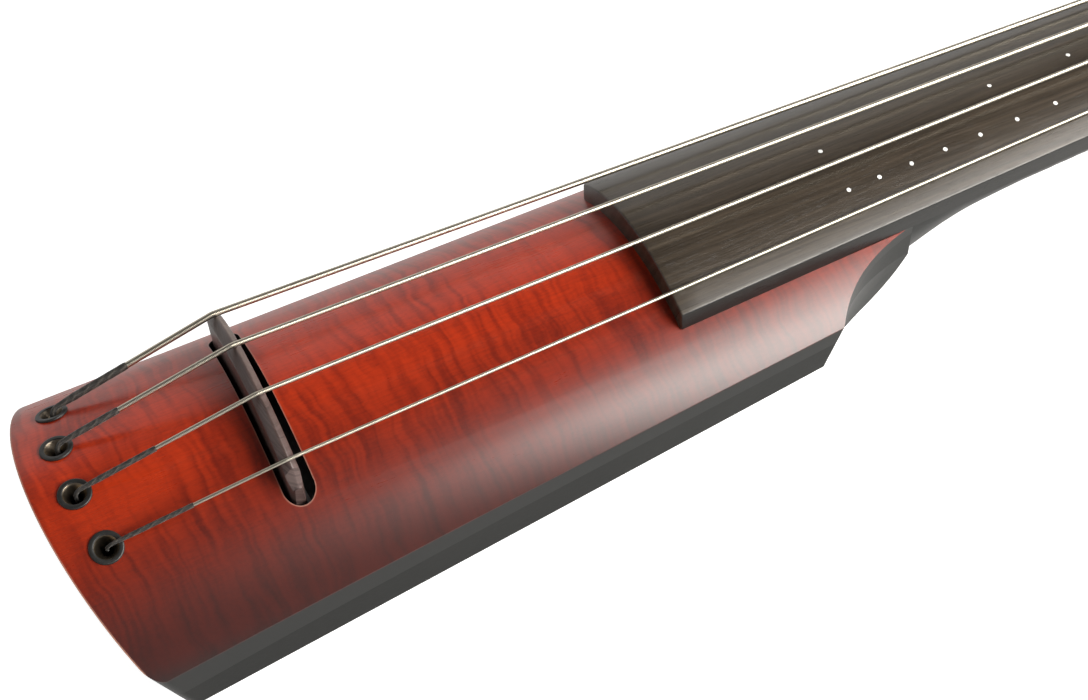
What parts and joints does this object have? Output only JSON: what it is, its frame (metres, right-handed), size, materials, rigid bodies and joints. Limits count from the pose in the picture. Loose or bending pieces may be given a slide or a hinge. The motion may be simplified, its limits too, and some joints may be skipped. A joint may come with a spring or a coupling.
{
  "type": "double bass",
  "caption": "Compact electric upright bass with arched flamed-maple body, bolt-on neck, height-adjustable bridge, wound strings and geared tuners; stand socket in the back",
  "frame": {"origin": "mouth of the threaded stand socket in the middle of the flat back", "axes": "+X towards the head along the strings, +Y towards the bass (E string) side, +Z out of the front of the instrument"},
  "size_m": [1.325, 0.1516, 0.0982],
  "materials": {
    "black_lacquer": "satin black lacquer",
    "flamed_maple": "satin amber and red burst over flamed maple",
    "ebony": "oiled ebony",
    "bridge_wood": "satin dark hardwood",
    "string_steel": "flat-wound nickel steel",
    "silk_thread": "wound dark grey thread",
    "brass": "machined brass",
    "black_metal": "satin black",
    "nickel": "polished nickel",
    "tuner_steel": "satin nickel",
    "aluminium": "anodised",
    "screw_steel": "blackened steel",
    "knob_plastic": "moulded black",
    "pearl": "white pearl inlay",
    "piezo_film": "laminated strip",
    "board_resin": "resin circuit board"
  },
  "bodies": {
    "root": {"body_core": "black_lacquer", "top_plate": "flamed_maple", "front_ferrules": "black_metal", "ball_cups": "nickel", "ball_ends": "brass", "string_e": "string_steel", "string_a": "string_steel", "string_d": "string_steel", "string_g": "string_steel", "string_silks": "silk_thread", "bridge_channel": "aluminium", "neck": "black_lacquer", "neck_cups": "nickel", "neck_bolts": "screw_steel", "fingerboard": "ebony", "position_dots": "pearl", "side_dots": "pearl", "nut": "ebony", "truss_rod": "screw_steel", "control_plate": "aluminium", "control_screws": "screw_steel", "volume_pot": "brass", "tone_pot": "brass", "mode_switch": "nickel", "circuit_board": "board_resin", "output_jack": "nickel", "jack_nut": "nickel", "stand_plate": "screw_steel", "stand_screws": "screw_steel", "tuner_plate_e": "tuner_steel", "tuner_plate_a": "tuner_steel", "tuner_plate_d": "tuner_steel", "tuner_plate_g": "tuner_steel", "post_bushings": "nickel", "tuner_screws": "screw_steel"},
    "bridge": {"bridge": "bridge_wood", "pickup_bar": "piezo_film", "bridge_foot": "aluminium"},
    "lift_screw_bass": {"lift_screw_bass": "screw_steel"},
    "lift_screw_treble": {"lift_screw_treble": "screw_steel"},
    "volume_knob": {"volume_knob": "knob_plastic"},
    "tone_knob": {"tone_knob": "knob_plastic"},
    "switch_lever": {"switch_lever": "nickel"},
    "post_e": {"tuner_post_e": "tuner_steel", "tuner_gear_e": "brass"},
    "key_e": {"tuner_worm_e": "tuner_steel", "tuner_key_e": "tuner_steel"},
    "post_a": {"tuner_post_a": "tuner_steel", "tuner_gear_a": "brass"},
    "key_a": {"tuner_worm_a": "tuner_steel", "tuner_key_a": "tuner_steel"},
    "post_d": {"tuner_post_d": "tuner_steel", "tuner_gear_d": "brass"},
    "key_d": {"tuner_worm_d": "tuner_steel", "tuner_key_d": "tuner_steel"},
    "post_g": {"tuner_post_g": "tuner_steel", "tuner_gear_g": "brass"},
    "key_g": {"tuner_worm_g": "tuner_steel", "tuner_key_g": "tuner_steel"}
  },
  "joints": [
    {"name": "bass_lift_screw", "type": "hinge", "parent": "bridge", "child": "lift_screw_bass", "pos_m": [-0.123, 0.034, 0.02], "axis": [0, 0, 1], "range_deg": [-720, 1080]},
    {"name": "treble_lift_screw", "type": "hinge", "parent": "bridge", "child": "lift_screw_treble", "pos_m": [-0.123, -0.034, 0.02], "axis": [0, 0, 1], "range_deg": [-720, 1080]},
    {"name": "bridge_lift", "type": "slide", "parent": "root", "child": "bridge", "axis": [0, 0, 1], "range_m": [-0.002, 0.003], "deforming": ["string_e", "string_a", "string_d", "string_g", "string_silks"]},
    {"name": "volume_turn", "type": "hinge", "parent": "root", "child": "volume_knob", "pos_m": [-0.095, 0.024, 0.01], "axis": [0, 0, -1], "range_deg": [-150, 150]},
    {"name": "tone_turn", "type": "hinge", "parent": "root", "child": "tone_knob", "pos_m": [-0.072, 0.024, 0.01], "axis": [0, 0, -1], "range_deg": [-150, 150]},
    {"name": "mode_flip", "type": "hinge", "parent": "root", "child": "switch_lever", "pos_m": [-0.052, 0.024, 0.014], "axis": [0, 1, 0], "range_deg": [-11, 11]},
    {"name": "post_turn_e", "type": "hinge", "parent": "root", "child": "post_e", "pos_m": [0.98521, 0.0205, 0.0567], "axis": [0.3145, 0, 0.9493], "continuous": true},
    {"name": "key_turn_e", "type": "hinge", "parent": "root", "child": "key_e", "pos_m": [0.9907, 0.0205, 0.02876], "axis": [0, 1, 0], "continuous": true},
    {"name": "post_turn_a", "type": "hinge", "parent": "root", "child": "post_a", "pos_m": [1.05166, 0.0135, 0.03469], "axis": [0.3145, 0, 0.9493], "continuous": true},
    {"name": "key_turn_a", "type": "hinge", "parent": "root", "child": "key_a", "pos_m": [1.05715, 0.0135, 0.00675], "axis": [0, 1, 0], "continuous": true},
    {"name": "post_turn_d", "type": "hinge", "parent": "root", "child": "post_d", "pos_m": [1.05166, -0.0135, 0.03469], "axis": [0.3145, 0, 0.9493], "continuous": true},
    {"name": "key_turn_d", "type": "hinge", "parent": "root", "child": "key_d", "pos_m": [1.05715, -0.0135, 0.00675], "axis": [0, -1, 0], "continuous": true},
    {"name": "post_turn_g", "type": "hinge", "parent": "root", "child": "post_g", "pos_m": [0.98521, -0.0205, 0.0567], "axis": [0.3145, 0, 0.9493], "continuous": true},
    {"name": "key_turn_g", "type": "hinge", "parent": "root", "child": "key_g", "pos_m": [0.9907, -0.0205, 0.02876], "axis": [0, -1, 0], "continuous": true}
  ],
  "couplings": [
    {"joint": "bridge_lift", "follows": "bass_lift_screw", "m_per_rad": 0.00015915},
    {"joint": "treble_lift_screw", "follows": "bass_lift_screw", "ratio": 1},
    {"joint": "key_turn_e", "follows": "post_turn_e", "ratio": -20},
    {"joint": "key_turn_a", "follows": "post_turn_a", "ratio": -20},
    {"joint": "key_turn_d", "follows": "post_turn_d", "ratio": 20},
    {"joint": "key_turn_g", "follows": "post_turn_g", "ratio": 20}
  ]
}
